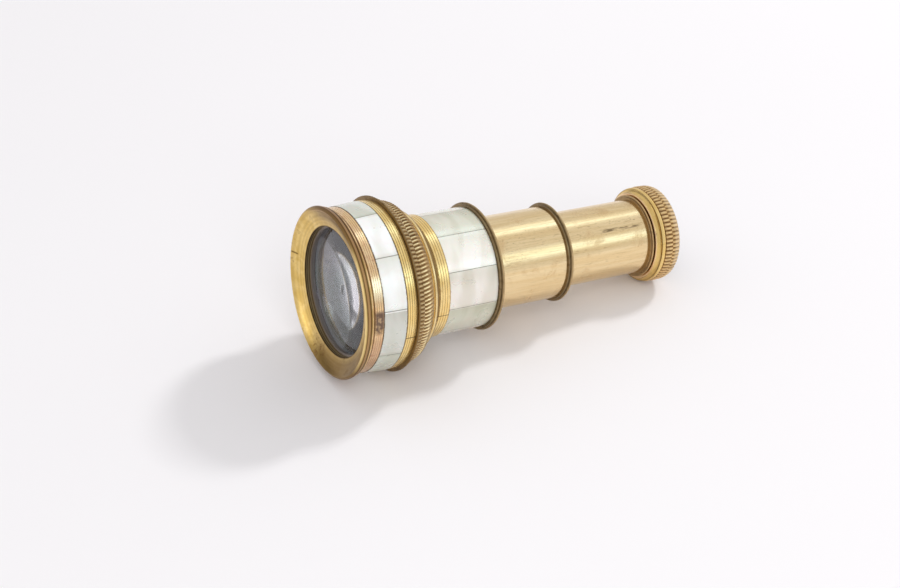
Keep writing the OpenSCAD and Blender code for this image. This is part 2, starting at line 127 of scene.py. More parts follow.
def between(tree, value, low, high, soft):
    """1 where the value lies between low and high, with soft edges."""
    return product(tree, remap(tree, value, low - soft, low + soft),
                   remap(tree, value, high - soft, high + soft, 1.0, 0.0))


def noise(tree, place, scale, detail=3.0, roughness=0.55, distortion=0.0):
    return add(tree, "ShaderNodeTexNoise",
               {"Vector": place, "Scale": scale, "Detail": detail, "Roughness": roughness,
                "Distortion": distortion}).outputs["Fac"]


def stretched(tree, place, scale):
    return vector_calc(tree, "MULTIPLY", place, scale)


def combined(tree, x=0.0, y=0.0, z=0.0):
    return add(tree, "ShaderNodeCombineXYZ", {0: x, 1: y, 2: z}).outputs[0]


def counted_round(tree, turn, first, number):
    """Counts evenly spaced steps round the axis, from a first one at a turn."""
    return product(tree, calc(tree, "DIVIDE", calc(tree, "SUBTRACT", turn, first), 360.0), number)


def from_nearer_end(tree, share):
    """How far a share of a step lies from the nearer end of the step."""
    return calc(tree, "MINIMUM", share, calc(tree, "SUBTRACT", 1.0, share))


def lines_across(tree, value, pitch, sharpness):
    """Evenly spaced soft lines, 1 on each line."""
    wave = calc(tree, "COSINE", product(tree, value, 2 * math.pi / pitch))
    return remap(tree, calc(tree, "MULTIPLY_ADD", wave, 0.5, 0.5), sharpness, 1.0)


def tone(r, g, b):
    """A colour given as it looks on a screen, 0 to 255, as linear light."""
    def linear(v):
        v /= 255
        return v / 12.92 if v <= 0.04045 else ((v + 0.055) / 1.055) ** 2.4
    return (linear(r), linear(g), linear(b), 1.0)


def effect(name, inputs, outputs):
    """An empty shader group with named inputs and outputs."""
    group = bpy.data.node_groups.new(name, "ShaderNodeTree")
    for label, kind, value in inputs:
        made = group.interface.new_socket(label, in_out="INPUT", socket_type="NodeSocket" + kind)
        if value is not None:
            made.default_value = value
    for label, kind in outputs:
        group.interface.new_socket(label, in_out="OUTPUT", socket_type="NodeSocket" + kind)
    return group, group.nodes.new("NodeGroupInput").outputs, group.nodes.new("NodeGroupOutput")


def finished(group, out, **results):
    """A shader group with its outputs linked."""
    for label, value in results.items():
        group.links.new(value, out.inputs[label])
    return group


def placed(tree, group, **inputs):
    """A group placed in a material, its inputs named with _ for a space."""
    made = tree.nodes.new("ShaderNodeGroup")
    made.node_tree = group
    for key, value in inputs.items():
        key = key.replace("_", " ")
        if isinstance(value, bpy.types.NodeSocket):
            tree.links.new(value, made.inputs[key])
        else:
            made.inputs[key].default_value = value
    return made.outputs


# Effects that several materials share.


def turner_coordinates():
    """Where a point lies on the turned object: along, out, its turn, and its place as a vector."""
    group, given, out = effect("turner_coordinates", [("Object", "Vector", None)],
                               [("Along", "Float"), ("Out", "Float"), ("Turn", "Float"), ("Place", "Vector")])
    moved = vector_calc(group, "SUBTRACT", given["Object"], tuple(LIP_CENTRE))
    up, side, along = (
        product(group, vector_calc(group, "DOT_PRODUCT", moved, tuple(way)), 1 / MM)
        for way in (UPWARD, SIDEWAYS, EYEWARD))
    turn = product(group, calc(group, "ARCTAN2", side, up), 180 / math.pi)
    reach = vector_calc(group, "LENGTH", combined(group, up, side))
    return finished(group, out, Along=along, Out=reach, Turn=turn, Place=combined(group, up, side, along))


def tarnish():
    """Cloudy patches of old lacquer and patina, with ragged edges and small specks."""
    group, given, out = effect(
        "tarnish",
        [("Place", "Vector", None), ("Size", "Float", 0.3), ("Amount", "Float", 0.4),
         ("Specks", "Float", 0.3)],
        [("Patches", "Float"), ("Specks", "Float"), ("Cloud", "Float")])
    cloud = noise(group, given["Place"], given["Size"], 5.0, 0.62, 0.4)
    level = calc(group, "SUBTRACT", 0.82, product(group, given["Amount"], 0.5))
    patches = remap(group, cloud, calc(group, "SUBTRACT", level, 0.09), calc(group, "ADD", level, 0.07))
    grit = noise(group, given["Place"], 2.6, 4.0, 0.7)
    edge = calc(group, "SUBTRACT", 0.8, product(group, given["Specks"], 0.25))
    specks = remap(group, grit, edge, calc(group, "ADD", edge, 0.06))
    return finished(group, out, Patches=patches, Specks=specks, Cloud=cloud)


def tool_marks():
    """Fine rings that a lathe tool leaves, uneven in depth and a little broken round the turn."""
    group, given, out = effect(
        "tool_marks",
        [("Along", "Float", 0.0), ("Out", "Float", 0.0), ("Place", "Vector", None), ("Pitch", "Float", 0.3)],
        [("Height", "Float"), ("Shade", "Float")])
    travel = calc(group, "ADD", given["Along"], given["Out"])
    wander = product(group, noise(group, given["Place"], 0.25, 2.0), 0.12)
    angle = product(group, calc(group, "ADD", travel, wander), 2 * math.pi)
    lines = calc(group, "SINE", calc(group, "DIVIDE", angle, given["Pitch"]))
    uneven = noise(group, combined(group, travel), 3.1, 6.0, 0.75)
    broken = noise(group, given["Place"], 0.8, 3.0, 0.6)
    height = product(group, calc(group, "MULTIPLY_ADD", lines, 0.35, uneven), calc(group, "ADD", broken, 0.4))
    return finished(group, out, Height=height, Shade=remap(group, height, 0.2, 0.75, smooth=False))


def draw_marks():
    """Lengthwise streaks on a drawn tube: fine scratches, soft bands and a few dark rubs."""
    group, given, out = effect("draw_marks", [("Place", "Vector", None)],
                               [("Scratches", "Float"), ("Bands", "Float"), ("Rubs", "Float")])
    scratches = noise(group, stretched(group, given["Place"], (4.2, 4.2, 0.10)), 1.0, 5.0, 0.7)
    bands = noise(group, stretched(group, given["Place"], (0.55, 0.55, 0.03)), 1.0, 3.0, 0.5, 0.3)
    smears = noise(group, stretched(group, given["Place"], (1.3, 1.3, 0.16)), 1.0, 5.0, 0.65, 0.6)
    return finished(group, out, Scratches=scratches, Bands=bands, Rubs=remap(group, smears, 0.60, 0.74))


def lobe_valleys():
    """How near a point lies to the valley between two milled lobes, 0 on a crest and 1 in a valley."""
    group, given, out = effect(
        "lobe_valleys", [("Turn", "Float", 0.0), ("Lobes", "Float", 140.0), ("Lean", "Float", 0.0)],
        [("Valley", "Float")])
    counted = counted_round(group, given["Turn"], 180.0, given["Lobes"])
    share = calc(group, "FRACT", calc(group, "SUBTRACT", counted, given["Lean"]))
    return finished(group, out, Valley=product(group, from_nearer_end(group, share), 2.0))


def nacre():
    """Shell: wide growth bands and faint flames over each plate's own tone, a painted sheen that fades across
    some plates, painted shade towards each plate's sides, and cement in the joints.
    """
    group, given, out = effect(
        "nacre",
        [("Place", "Vector", None), ("Turn", "Float", 0.0), ("First joint", "Float", 0.0),
         ("Plates", "Float", 10.0), ("Seed", "Float", 0.0), ("Tone", "Color", None)],
        [("Color", "Color"), ("Roughness", "Float"), ("Height", "Float"), ("Joint", "Float")])
    counted = counted_round(group, given["Turn"], given["First joint"], given["Plates"])
    share = calc(group, "FRACT", counted)
    edge = from_nearer_end(group, share)
    number = calc(group, "ADD", calc(group, "FLOOR", counted), given["Seed"])
    dice = add(group, "ShaderNodeTexWhiteNoise", {"W": number}, noise_dimensions="1D").outputs

    place = vector_calc(group, "ADD", given["Place"], stretched(group, dice["Color"], (40.0, 40.0, 40.0)))
    swirl = noise(group, place, 0.05, 2.0, 0.4, 0.3)
    bent = vector_calc(group, "ADD", place, combined(group, z=product(group, swirl, 9.0)))
    layers = noise(group, stretched(group, bent, (0.07, 0.07, 0.26)), 1.0, 2.0, 0.45, 0.3)
    flames = noise(group, bent, 0.16, 3.0, 0.5, 0.8)

    colour = mixed(group, remap(group, layers, 0.34, 0.60), tone(240, 239, 234), tone(255, 255, 255))
    colour = mixed(group, remap(group, flames, 0.50, 0.72, 0.0, 0.40), colour, tone(252, 238, 236))
    colour = mixed(group, remap(group, swirl, 0.38, 0.52, 0.25, 0.0), colour, tone(232, 238, 226))
    colour = mixed(group, 1.0, given["Tone"], colour, "MULTIPLY")
    # Painted light: plates darken towards their sides as painted shade, and some darken across their width as
    # a painted sheen that fades.
    shaded = mixed(group, 1.0, colour, tone(226, 226, 218), "MULTIPLY")
    turned = calc(group, "FRACT", product(group, dice["Value"], 7.0))
    painted_sheen_fall = remap(group, calc(group, "ADD", share, product(group, layers, 0.4)), 0.15, 0.75, 1.0, 0.0)
    sides = remap(group, edge, 0.0, 0.10, 0.5, 0.0)
    painted_dimming = calc(group, "MAXIMUM", product(group, painted_sheen_fall, turned), sides)
    return finished(group, out, Color=mixed(group, painted_dimming, colour, shaded),
                    Roughness=remap(group, flames, 0.3, 0.7, 0.26, 0.38),
                    Height=calc(group, "MULTIPLY_ADD", flames, 0.5, layers),
                    Joint=remap(group, edge, 0.0, 0.016, 1.0, 0.0))


COORDINATES = turner_coordinates()
TARNISH = tarnish()
TOOL_MARKS = tool_marks()
DRAW_MARKS = draw_marks()
LOBE_VALLEYS = lobe_valleys()
NACRE = nacre()


# Materials.


def material(name, **settings):
    """A material with its Principled shader and the turner's coordinates."""
    made = bpy.data.materials.new(name)
    made.use_nodes = True
    tree = made.node_tree
    shader = tree.nodes["Principled BSDF"]
    for key, value in settings.items():
        shader.inputs[key.replace("_", " ")].default_value = value
    where = placed(tree, COORDINATES, Object=tree.nodes.new("ShaderNodeTexCoord").outputs["Object"])
    return made, tree, shader, where


def finish_surface(tree, shader, colour, roughness, height, strength, distance):
    tree.links.new(colour, shader.inputs["Base Color"])
    tree.links.new(roughness, shader.inputs["Roughness"])
    bump = add(tree, "ShaderNodeBump", {"Height": height, "Strength": strength, "Distance": distance})
    tree.links.new(bump.outputs[0], shader.inputs["Normal"])


def brass(name, gold, pale, stain, patches=0.4, size=0.28, rough=0.3, pitch=0.3, marks=0.5, lines=0.25,
          wear=None):
    """Old brass: gold that drifts in tone, stained in patches, with tool marks round it and its wear."""
    made, tree, shader, where = material(name, Metallic=1.0)
    aged = placed(tree, TARNISH, Place=where["Place"], Size=size, Amount=patches, Specks=0.3)
    rings = placed(tree, TOOL_MARKS, Along=where["Along"], Out=where["Out"], Place=where["Place"],
                   Pitch=pitch)
    colour = mixed(tree, remap(tree, aged["Cloud"], 0.35, 0.65), gold, pale)
    colour = tinted(tree, colour, stain, rings["Shade"], lines)
    colour = tinted(tree, colour, stain, aged["Patches"], 0.75)
    colour = tinted(tree, colour, tone(60, 38, 22), aged["Specks"], 0.7)
    grain = noise(tree, where["Place"], 6.0, 4.0, 0.7)
    roughness = calc(tree, "MULTIPLY_ADD", grain, 0.10,
                     remap(tree, aged["Patches"], 0.0, 1.0, rough, rough + 0.18))
    if wear:
        colour, roughness = wear(tree, where, colour, roughness, aged)
    height = calc(tree, "MULTIPLY_ADD", rings["Height"], marks, product(tree, grain, 0.25))
    finish_surface(tree, shader, colour, roughness, height, strength=0.6, distance=0.00003)
    return made


def bezel_face(tree, where, colour, out, upper):
    """Brown patina at the top of the face and a painted dark reflection low on the right, a stain at the
    lower left, a crack at the left.
    """
    # Painted dark reflection: the face is tinted brown round turn 157 degrees, low on the right; at the top
    # the brown is patina.
    round_turn = calc(tree, "FLOORED_MODULO", where["Turn"], 360.0)
    from_bottom = calc(tree, "ABSOLUTE", calc(tree, "SUBTRACT", round_turn, 157.0))
    bottom = remap(tree, from_bottom, 26.0, 62.0, 1.0, 0.0)
    brown = calc(tree, "MAXIMUM", product(tree, upper, remap(tree, out, 17.6, 19.6, 0.3, 0.85)),
                 product(tree, bottom, remap(tree, out, 17.0, 18.6, 0.5, 0.8)))
    colour = tinted(tree, colour, tone(118, 88, 46), brown)
    stain = between(tree, where["Turn"], -177.0, -158.0, 7.0)
    blotch = remap(tree, noise(tree, where["Place"], 1.1, 3.0, 0.5), 0.5, 0.64)
    inner = between(tree, where["Out"], 17.6, 21.0, 0.5)
    colour = tinted(tree, colour, tone(110, 76, 40), stain, inner, blotch, 0.6)
    crack = between(tree, where["Turn"], -89.6, -88.4, 0.4)
    outer = between(tree, where["Out"], 19.4, 21.3, 0.3)
    return tinted(tree, colour, tone(80, 54, 30), crack, outer, 0.75)


def bezel_outside(tree, where, colour, aged):
    """The lip's side and its grooves, back to the front band, with a painted highlight along one edge."""
    outside = remap(tree, where["Out"], 21.3, 21.5)
    for front, back, soft, share, tint in (
        (0.5, 1.3, 0.1, 0.75, tone(176, 138, 96)),
        (0.36, 0.6, 0.07, 0.75, tone(92, 62, 38)),
        (1.38, 1.75, 0.08, 0.85, tone(82, 54, 34)),
    ):
        colour = tinted(tree, colour, tint, between(tree, where["Along"], front, back, soft), outside, share)
    # Painted highlight: a bright line round the edge just behind the lip's groove, broken by the tarnish
    # cloud.
    colour = tinted(tree, colour, tone(250, 216, 170), between(tree, where["Along"], 1.95, 2.25, 0.08),
                    remap(tree, aged["Cloud"], 0.4, 0.55, 0.4, 1.0))
    return tinted(tree, colour, tone(84, 56, 38), remap(tree, where["Along"], 2.35, 2.6), 0.9)


def bezel_wear(tree, where, colour, roughness, aged):
    """Patina over the face and the lip, widest at the top, a painted dark reflection low on the face, a
    painted highlight behind the lip, and dull turned rings in the bore.
    """
    ragged = product(tree, calc(tree, "SUBTRACT", aged["Cloud"], 0.5), 0.9)
    out = calc(tree, "ADD", where["Out"], ragged)
    upper = remap(tree, calc(tree, "ABSOLUTE", where["Turn"]), 16.0, 50.0, 1.0, 0.0)
    colour = bezel_face(tree, where, colour, out, upper)

    start = calc(tree, "MULTIPLY_ADD", upper, -0.9, 21.15)
    lip = remap(tree, out, start, calc(tree, "ADD", start, 0.45))
    colour = tinted(tree, colour, tone(136, 106, 66), lip, calc(tree, "MULTIPLY_ADD", upper, 0.45, 0.4))
    ring = between(tree, where["Out"], 20.75, 21.0, 0.08)
    colour = tinted(tree, colour, tone(214, 180, 132), ring, upper, 0.6)
    crest = between(tree, where["Out"], 20.9, 21.75, 0.1)
    crest_front = remap(tree, where["Along"], 0.28, 0.38, 1.0, 0.0)
    # The front of the lip's crest is lighter on its right side, from turn 36 to 118 degrees.
    crest_right_side = between(tree, where["Turn"], 36.0, 118.0, 14.0)
    colour = tinted(tree, colour, tone(250, 222, 156), crest, crest_front, crest_right_side, 0.85)
    colour = bezel_outside(tree, where, colour, aged)

    bore = remap(tree, where["Out"], 16.68, 16.95, 1.0, 0.0)
    turned_rings = lines_across(tree, where["Along"], 0.62, 0.35)
    walls = mixed(tree, turned_rings, tone(176, 156, 118), tone(116, 96, 66))
    walls = tinted(tree, walls, tone(168, 160, 156), remap(tree, where["Along"], 3.3, 3.5))
    walls = tinted(tree, walls, tone(78, 56, 30), between(tree, where["Along"], 1.75, 2.15, 0.15))
    colour = tinted(tree, colour, walls, bore)
    roughness = calc(tree, "MULTIPLY_ADD", lip, 0.08, roughness)
    return colour, calc(tree, "MULTIPLY_ADD", bore, 0.22, roughness)


def rib_pitch(band):
    return (band.back - band.front - 2 * BAND_EDGE) / band.ribs


def grooved(tree, where, colour, band, tint, share):
    """Dirt in a band's grooves."""
    from_first = calc(tree, "SUBTRACT", where["Along"], band.front + BAND_EDGE)
    return tinted(tree, colour, tint, lines_across(tree, from_first, rib_pitch(band), 0.75), share)


def jointed(tree, where, colour, turn):
    """A thin dark joint across a band."""
    line = between(tree, where["Turn"], turn - 0.35, turn + 0.35, 0.25)
    return tinted(tree, colour, tone(70, 44, 26), line, 0.85)


def front_band_wear(tree, where, colour, roughness, aged):
    """Gilding rubbed to copper, a grey stain, a painted highlight on one side, and painted shade on the
    underside.
    """
    colour = grooved(tree, where, colour, FRONT_BAND, tone(150, 104, 76), 0.55)
    rubbed = noise(tree, stretched(tree, where["Place"], (0.5, 0.5, 2.0)), 0.8, 4.0, 0.7)
    colour = tinted(tree, colour, tone(210, 158, 122), remap(tree, rubbed, 0.44, 0.62), 0.4)
    bright = noise(tree, where["Place"], 1.6, 4.0, 0.7)
    colour = tinted(tree, colour, tone(255, 232, 196), remap(tree, bright, 0.56, 0.66), 0.5)
    stain = product(tree, between(tree, where["Turn"], 74.0, 90.0, 2.0),
                    between(tree, where["Along"], 2.9, 5.2, 0.3))
    ragged = remap(tree, noise(tree, where["Place"], 0.8, 3.0, 0.6), 0.36, 0.5, 0.5, 1.0)
    by_pearl = remap(tree, where["Along"], 5.12, 5.26)
    # Painted highlight: a lighter part from turn 52 to 66 degrees.
    lighter = between(tree, where["Turn"], 52.0, 66.0, 3.0)
    # Painted shade: a darker, redder tint over the underside, from turn 94 to 170 degrees.
    painted_underside_shade = between(tree, where["Turn"], 94.0, 170.0, 5.0)
    colour = tinted(tree, colour, tone(92, 74, 70), stain, ragged, 0.85)
    colour = tinted(tree, colour, tone(120, 88, 58), by_pearl, 0.7)
    colour = tinted(tree, colour, tone(255, 240, 204), lighter, 0.7)
    colour = tinted(tree, colour, tone(186, 142, 116), painted_underside_shade, 0.5)
    return colour, calc(tree, "MULTIPLY_ADD", stain, 0.2, roughness)


def rear_band_wear(tree, where, colour, roughness, aged):
    """Dirt in the grooves and where the band meets the pearl and the flange, and one joint."""
    colour = grooved(tree, where, colour, REAR_BAND, tone(150, 112, 50), 0.6)
    by_pearl = remap(tree, where["Along"], 11.42, 11.75, 1.0, 0.0)
    by_flange = remap(tree, where["Along"], 13.9, 14.15)
    colour = tinted(tree, colour, tone(88, 62, 34), by_pearl, 0.8)
    colour = tinted(tree, colour, tone(104, 78, 44), by_flange, 0.7)
    return jointed(tree, where, colour, 97.5), roughness


def neck_band_wear(tree, where, colour, roughness, aged):
    """Dirt in the grooves, a dark and uneven line of dirt and painted shade behind the bead, and one joint.
    """
    colour = grooved(tree, where, colour, NECK_BAND, tone(160, 118, 54), 0.55)
    wavy = product(tree, noise(tree, where["Place"], 1.5, 2.0, 0.5), 0.6)
    # Dirt and painted shade: a dark, uneven line on the band next to the bead.
    dirt = remap(tree, calc(tree, "ADD", where["Along"], wavy), 23.75, 23.95, 1.0, 0.0)
    colour = tinted(tree, colour, tone(134, 104, 60), dirt, 0.92)
    return jointed(tree, where, colour, 98.5), calc(tree, "MULTIPLY_ADD", dirt, 0.2, roughness)


def bead_wear(tree, where, colour, roughness, aged):
    """The plain strip before the bead is brown and dull, the bead itself is rubbed bright, and its back is
    dark with dirt and painted shade.
    """
    strip = remap(tree, where["Along"], 20.78, 20.92, 1.0, 0.0)
    ragged = remap(tree, noise(tree, where["Place"], 0.7, 4.0, 0.6), 0.35, 0.65, 0.75, 1.0)
    colour = tinted(tree, colour, tone(166, 130, 88), strip, ragged)
    # The back of the bead is darkened: dirt and painted shade between the bead and the neck band.
    colour = tinted(tree, colour, tone(116, 84, 46), remap(tree, where["Along"], 21.52, 21.7), 0.9)
    return colour, calc(tree, "MULTIPLY_ADD", strip, 0.22, roughness)


def collar_wear(tree, where, colour, roughness, aged):
    """The collars' round edges are rubbed lighter than their faces, and the last collar is rubbed most."""
    last_edge = remap(tree, where["Along"], 90.35, 90.5)
    edge = calc(tree, "MAXIMUM", between(tree, where["Along"], 41.25, 41.6, 0.12),
                calc(tree, "MAXIMUM", between(tree, where["Along"], 63.95, 64.3, 0.12), last_edge))
    rubbed = noise(tree, where["Place"], 0.6, 4.0, 0.6)
    colour = tinted(tree, colour, tone(206, 176, 128), edge, remap(tree, rubbed, 0.3, 0.6, 0.5, 1.0), 0.85)
    last = remap(tree, where["Along"], 85.0, 86.0)
    rim = remap(tree, where["Out"], 11.2, 11.5)
    colour = tinted(tree, colour, tone(238, 196, 140), last, calc(tree, "MULTIPLY_ADD", rim, 0.65, 0.2))
    return colour, roughness


def cap_wear(tree, where, colour, roughness, aged):
    """Olive tarnish in the cap's hollow, a pinkish front edge, and a dark line on each side of the fillet."""
    hollow = between(tree, where["Along"], 91.45, 92.3, 0.15)
    colour = tinted(tree, colour, tone(206, 170, 98), hollow, 0.45)
    front_edge = remap(tree, where["Along"], 91.2, 91.42, 1.0, 0.0)
    colour = tinted(tree, colour, tone(232, 196, 160), front_edge, 0.7)
    for front in (92.3, 93.55):
        line = between(tree, where["Along"], front, front + 0.25, 0.07)
        colour = tinted(tree, colour, tone(96, 66, 34), line, 0.8)
    return colour, roughness


def milled(name, crest, flank, dark, lobes, slant, deep, dull, crest_width=1.0):
    """Milled brass: crests rubbed bright, brown flanks, dirt deep in the valleys, and parts left dull.

    The slant (from, to, lean) says where along the piece its lobes lean, and by what share of a lobe.
    Each dull part is (from, to, share, tone) along the piece.
    """
    made, tree, shader, where = material(name, Metallic=1.0)
    aged = placed(tree, TARNISH, Place=where["Place"], Size=0.4, Amount=0.4, Specks=0.35)
    lean = remap(tree, where["Along"], slant[0], slant[1], 0.0, slant[2], smooth=False)
    valley = placed(tree, LOBE_VALLEYS, Turn=where["Turn"], Lobes=float(lobes), Lean=lean)["Valley"]
    worn = calc(tree, "ADD", valley, remap(tree, aged["Cloud"], 0.35, 0.65, 0.12, -0.12))
    colour = mixed(tree, remap(tree, worn, 0.12 * crest_width, 0.5 * crest_width), crest, flank)
    colour = tinted(tree, colour, dark, remap(tree, valley, 0.55, 0.95), deep)
    for front, back, share, dull_tone in dull:
        colour = tinted(tree, colour, dull_tone, between(tree, where["Along"], front, back, 0.25), share)
    colour = tinted(tree, colour, dark, aged["Patches"], 0.5)
    grain = noise(tree, where["Place"], 7.0, 4.0, 0.7)
    roughness = calc(tree, "MULTIPLY_ADD", grain, 0.12, remap(tree, valley, 0.2, 1.0, 0.24, 0.5))
    finish_surface(tree, shader, colour, roughness, grain, strength=0.4, distance=0.00002)
    return made


def tube_brass(name):
    """Pale drawn brass with lengthwise streaks, brown mottling and one dark smear."""
    made, tree, shader, where = material(name, Metallic=1.0)
    drawn = placed(tree, DRAW_MARKS, Place=where["Place"])
    aged = placed(tree, TARNISH, Place=where["Place"], Size=0.16, Amount=0.38, Specks=0.25)
    colour = mixed(tree, remap(tree, drawn["Bands"], 0.35, 0.65), tone(234, 206, 156), tone(242, 218, 172))
    colour = tinted(tree, colour, tone(212, 182, 130), remap(tree, drawn["Scratches"], 0.45, 0.7, 0.0, 0.5))
    colour = tinted(tree, colour, tone(170, 136, 90), drawn["Rubs"], 0.5)
    colour = tinted(tree, colour, tone(202, 164, 112), aged["Patches"], 0.4)
    mottle = noise(tree, stretched(tree, where["Place"], (2.4, 2.4, 1.1)), 1.0, 5.0, 0.78)
    upper = between(tree, where["Turn"], 24.0, 50.0, 9.0)
    colour = tinted(tree, colour, tone(134, 110, 72), remap(tree, mottle, 0.57, 0.68),
                    calc(tree, "MULTIPLY_ADD", upper, 0.45, 0.42))
    colour = tinted(tree, colour, tone(96, 70, 44), aged["Specks"], 0.6)
    broken = noise(tree, stretched(tree, where["Place"], (2.0, 2.0, 0.35)), 1.0, 4.0, 0.7)
    smear = product(tree, between(tree, where["Turn"], 38.5, 43.0, 1.6),
                    between(tree, where["Along"], 76.0, 87.5, 1.5))
    colour = tinted(tree, colour, tone(92, 70, 44), smear, remap(tree, broken, 0.4, 0.6), 0.8)
    roughness = calc(tree, "MULTIPLY_ADD", aged["Patches"], 0.10,
                     remap(tree, drawn["Scratches"], 0.35, 0.7, 0.18, 0.27))
    height = calc(tree, "MULTIPLY_ADD", drawn["Bands"], 0.5, product(tree, drawn["Scratches"], 0.3))
    finish_surface(tree, shader, colour, roughness, height, strength=0.4, distance=0.00003)
    return made


def pearl(name, first_joint, seed, ends, tones):
    """Polished mother-of-pearl. Each plate has its own tone, partly painted light and shade, and dark cement
    lies round it.
    """
    made, tree, shader, where = material(name, Metallic=0.25, Coat_Weight=0.6, Coat_Roughness=0.14,
                                         IOR=1.56, Subsurface_Weight=0.1, Subsurface_Scale=0.001)
    plates = float(len(tones))
    from_joint = calc(tree, "FLOORED_MODULO", calc(tree, "SUBTRACT", where["Turn"], first_joint), 360.0)
    plate = add(tree, "ShaderNodeValToRGB", {0: calc(tree, "DIVIDE", from_joint, 360.0)})
    plate.color_ramp.interpolation = "CONSTANT"
    stops = plate.color_ramp.elements
    stops[0].position, stops[0].color = 0.0, tone(*tones[0])
    stops[1].position, stops[1].color = 1 / plates, tone(*tones[1])
    for i, colour in enumerate(tones[2:], 2):
        stops.new(i / plates).color = tone(*colour)
    shell = placed(tree, NACRE, Place=where["Place"], Turn=where["Turn"], First_joint=first_joint,
                   Plates=plates, Seed=seed, Tone=plate.outputs[0])
    colour = tinted(tree, shell["Color"], tone(120, 112, 92), shell["Joint"], 0.6)
    front, back = ends
    cement = calc(tree, "MAXIMUM", remap(tree, where["Along"], front + 0.05, front + 0.22, 1.0, 0.0),
                  remap(tree, where["Along"], back - 0.24, back - 0.06))
    ragged = remap(tree, noise(tree, where["Place"], 1.6, 3.0, 0.6), 0.38, 0.55, 0.35, 0.9)
    colour = tinted(tree, colour, tone(104, 88, 58), cement, ragged)
    finish_surface(tree, shader, colour, shell["Roughness"], shell["Height"], strength=0.2, distance=0.0003)
    return made


def blackened(name, dark, worn):
    """Brass blackened in the solution, matt, with worn spots that show through."""
    made, tree, shader, where = material(name, Metallic=0.4)
    aged = placed(tree, TARNISH, Place=where["Place"], Size=0.5, Amount=0.35, Specks=0.4)
    colour = tinted(tree, dark, worn, aged["Patches"], 0.5)
    grain = noise(tree, where["Place"], 5.0, 4.0, 0.65)
    roughness = remap(tree, grain, 0.3, 0.7, 0.5, 0.72)
    finish_surface(tree, shader, colour, roughness, grain, strength=0.3, distance=0.00003)
    return made


def optical_glass(name):
    """Old polished glass with a trace of haze."""
    made, tree, shader, where = material(name, Metallic=0.0, Transmission_Weight=0.965, IOR=1.56)
    haze = noise(tree, where["Place"], 0.12, 3.0, 0.5)
    colour = mixed(tree, remap(tree, haze, 0.3, 0.7), tone(228, 240, 240), tone(246, 242, 250))
    roughness = remap(tree, haze, 0.35, 0.7, 0.0, 0.012)
    finish_surface(tree, shader, colour, roughness, haze, strength=0.02, distance=0.00002)
    return made


BROWN = tone(128, 92, 56)
bezel_brass = brass("bezel_gilt", tone(218, 184, 106), tone(236, 206, 136), tone(148, 110, 56), patches=0.3,
                    rough=0.26, pitch=0.6, marks=0.2, lines=0.2, wear=bezel_wear)
bead_brass = brass("bead_gilt", tone(240, 212, 150), tone(250, 226, 170), BROWN, patches=0.3,
                   rough=0.2, marks=0.15, lines=0.1, wear=bead_wear)
cap_brass = brass("cap_gilt", tone(238, 202, 126), tone(248, 216, 146), BROWN, patches=0.25,
                  rough=0.17, marks=0.15, lines=0.12, wear=cap_wear)
front_band_brass = brass("front_band_brass", tone(240, 206, 152), tone(252, 224, 178), tone(190, 144, 108),
                         patches=0.3, rough=0.15, pitch=0.62, marks=0.1, lines=0.2, wear=front_band_wear)
rear_band_brass = brass("rear_band_brass", tone(244, 212, 138), tone(253, 228, 162), tone(178, 134, 70),
                        patches=0.3, rough=0.2, pitch=0.6, marks=0.1, lines=0.2, wear=rear_band_wear)
neck_band_brass = brass("neck_band_brass", tone(246, 212, 138), tone(255, 228, 162), tone(178, 134, 70),
                        patches=0.3, rough=0.2, pitch=0.7, marks=0.1, lines=0.2, wear=neck_band_wear)
ring_brass = milled("milled_ring_brass", tone(255, 236, 186), tone(176, 142, 94), tone(92, 66, 40),
                    lobes=RING_LOBES, slant=(16.5, 19.9, -0.75), deep=0.85, crest_width=0.9,
                    dull=[(14.2, 16.55, 0.6, tone(146, 116, 76)), (18.4, 20.5, 0.7, tone(176, 142, 94))])
cap_rim_brass = milled("cap_rim_brass", tone(236, 204, 148), tone(196, 158, 106), tone(112, 80, 48),
                       lobes=CAP_LOBES, slant=(95.82, 95.84, 0.5), deep=0.8,
                       dull=[(96.6, 99.0, 0.45, tone(236, 214, 178))])
flange_brass = brass("flange_brass", tone(132, 108, 74), tone(160, 134, 94), tone(84, 62, 38), size=0.5,
                     rough=0.34, marks=0.1, lines=0.2)
collar_brass = brass("collar_brass", tone(132, 112, 80), tone(156, 134, 98), tone(86, 66, 44), size=0.5,
                     rough=0.32, marks=0.2, wear=collar_wear)
inner_brass = brass("inner_brass", tone(160, 140, 108), tone(178, 158, 122), tone(84, 68, 50), rough=0.4)
drawn_brass = tube_brass("drawn_brass")
# Each plate's tone is partly its own and partly painted light: the upper plates on the right are near white
# as a painted highlight, and the plates below them are darker as painted shade.
drum_pearl = pearl("drum_pearl_shell", 3.0, 4.0, DRUM_PEARL,
                   [(255, 255, 255), (255, 255, 255), (214, 214, 207), (198, 202, 187), (238, 234, 226),
                    (250, 247, 240), (228, 228, 218), (240, 238, 230), (222, 224, 214), (220, 223, 213)])
neck_pearl = pearl("neck_pearl_shell", 22.0, 11.0, NECK_PEARL,
                   [(250, 247, 240), (240, 234, 225), (214, 212, 195), (232, 228, 216), (246, 242, 232),
                    (224, 220, 206), (240, 236, 226), (230, 226, 212), (236, 233, 222), (224, 223, 208)])
black_brass = blackened("blackened_brass", tone(38, 34, 31), tone(84, 66, 46))
# The retaining ring is pale, not black: a painted reflection, so that the glass shows a grey field.
painted_reflection_retainer = blackened("retainer_painted_reflection", tone(206, 216, 213), tone(236, 236, 226))
glass = optical_glass("old_glass")


def dress(node, finish_material):
    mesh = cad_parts[node].data
    mesh.materials.clear()
    mesh.materials.append(finish_material)


